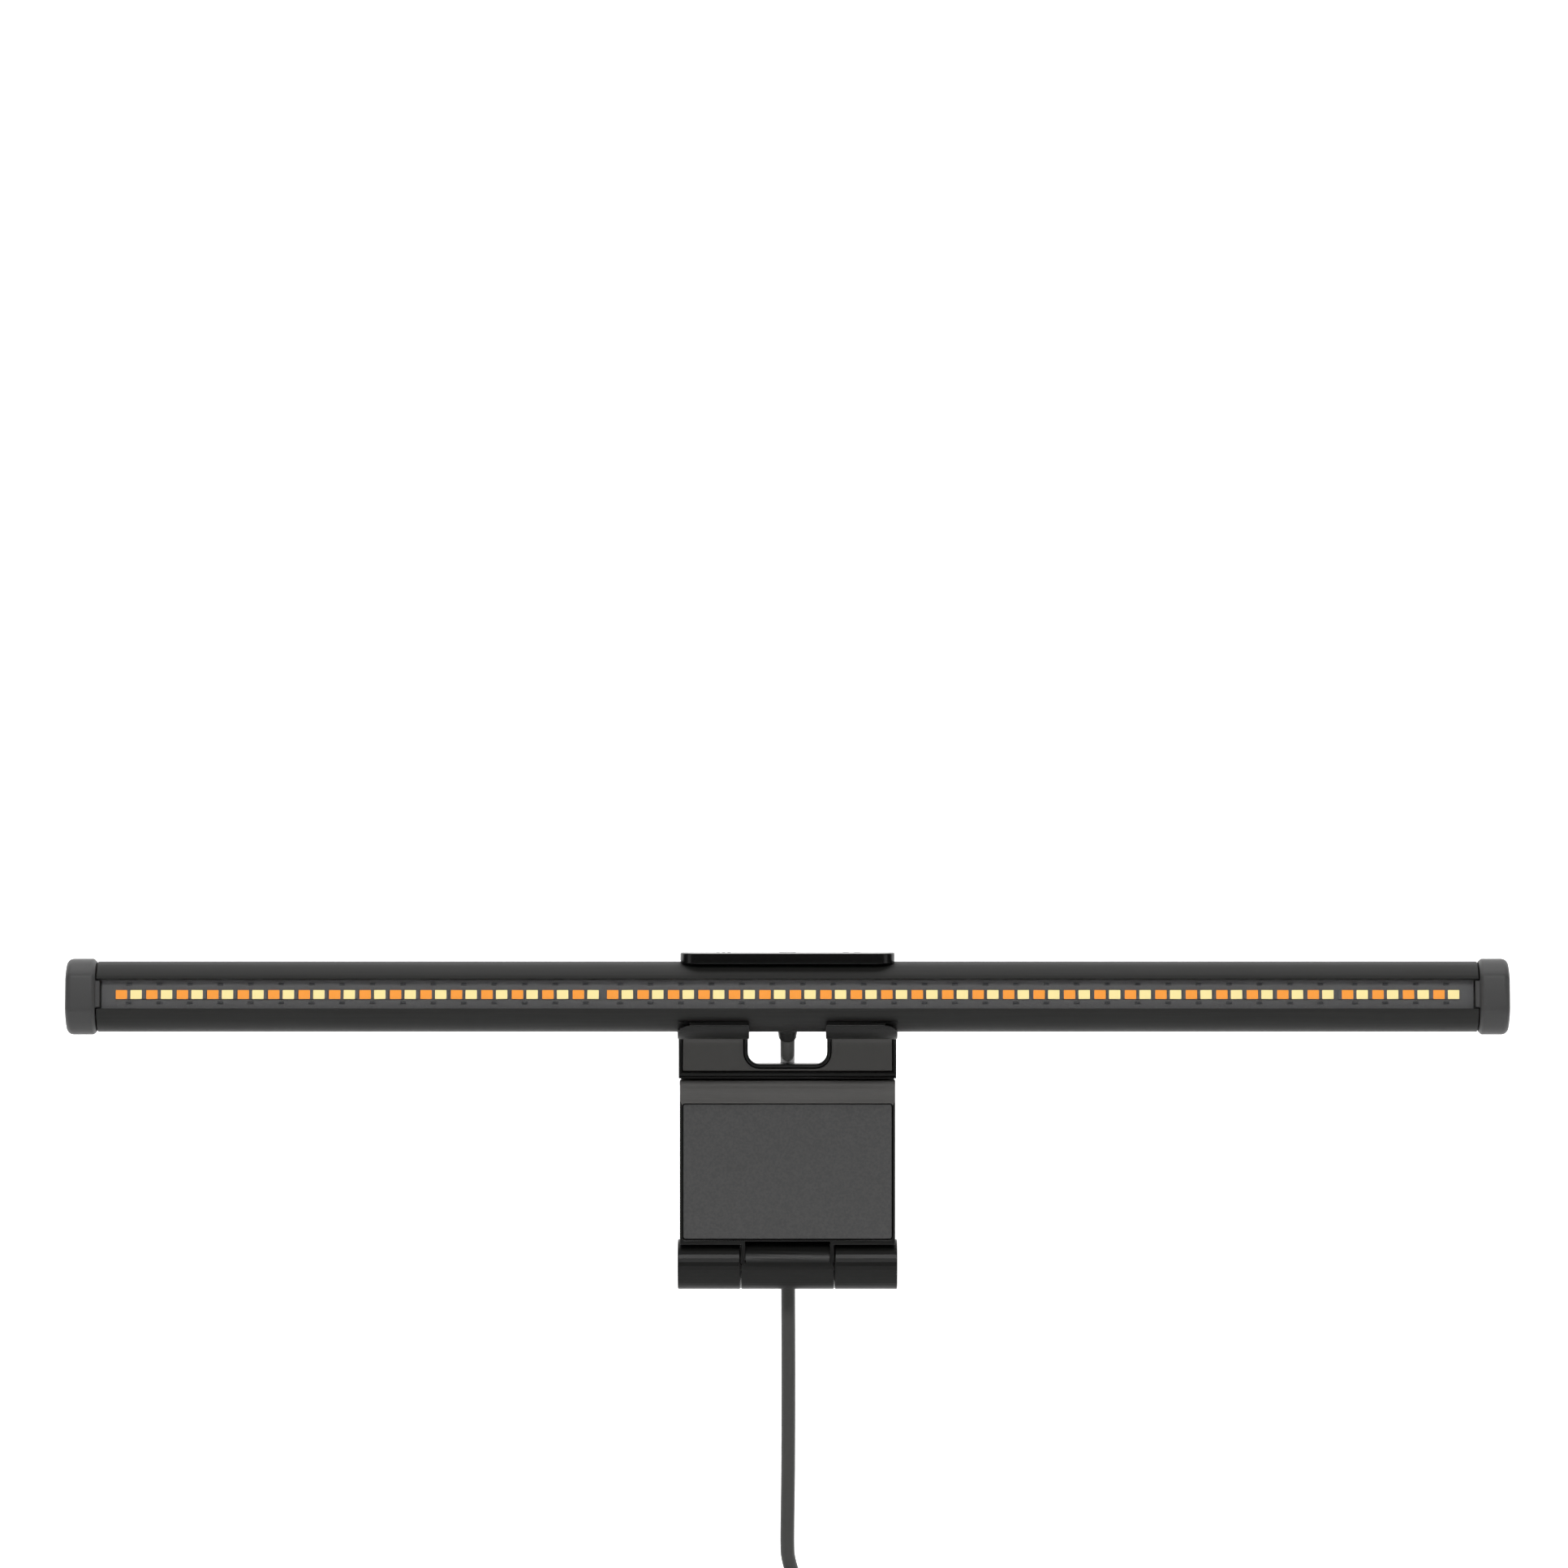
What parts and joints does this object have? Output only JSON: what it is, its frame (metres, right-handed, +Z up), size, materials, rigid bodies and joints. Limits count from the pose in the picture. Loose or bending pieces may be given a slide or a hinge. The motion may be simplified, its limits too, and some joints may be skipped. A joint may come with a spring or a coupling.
{
  "type": "monitor light bar",
  "caption": "Slim LED light bar that tilts in a hook over a screen's top edge, with a hinged plate behind the screen and a captive lead.",
  "frame": {"origin": "middle of the throat, on the face that rests on the screen's top edge", "axes": "+X along the bar, -Y towards the person at the desk, +Z up"},
  "size_m": [0.45, 0.0649, 0.3265],
  "materials": {
    "tube": "dark anodised, satin",
    "cap": "moulded, satin",
    "pad": "gloss",
    "clip": "moulded, satin",
    "rubber": "matte silicone",
    "board": "dark solder mask",
    "lens": "clear",
    "steel": "plated",
    "cable": "satin jacket"
  },
  "bodies": {
    "clip": {"hook": "clip", "throat_pad": "rubber", "rear_arm": "clip", "rear_cover": "clip", "counterweight": "steel", "cover_screw_lower_left": "steel", "cover_screw_lower_right": "steel", "cover_screw_upper_left": "steel", "cover_screw_upper_right": "steel", "arm_screw_left": "steel", "arm_screw_right": "steel", "hinge_pin": "steel", "hinge_end_left": "clip", "hinge_end_right": "clip", "friction_washer_left": "steel", "friction_washer_right": "steel", "cord_run": "cable", "cord_coil": "cable", "cord_tie": "cap", "cord_tail": "cable", "usb_plug": "cap", "usb_shell": "steel"},
    "bar": {"tube_housing": "tube", "led_board": "board", "lens": "lens", "end_cap_left": "cap", "end_cap_right": "cap", "touch_cover": "pad", "touch_board": "board", "cable_gland": "cap", "gland_nut": "steel", "tilt_screw_left": "steel", "tilt_screw_right": "steel", "tilt_nut_left": "steel", "tilt_nut_right": "steel", "driver_board": "board"},
    "plate": {"clamp_plate": "clip", "clamp_facing": "rubber"}
  },
  "joints": [
    {"name": "bar_tilt", "type": "hinge", "parent": "clip", "child": "bar", "pos_m": [0, -0.01711, 0.0084], "axis": [1, 0, 0], "range_deg": [0, 45]},
    {"name": "plate_swing", "type": "hinge", "parent": "clip", "child": "plate", "pos_m": [0, 0.01734, -0.07803], "axis": [1, 0, 0], "range_deg": [0, 40]}
  ]
}
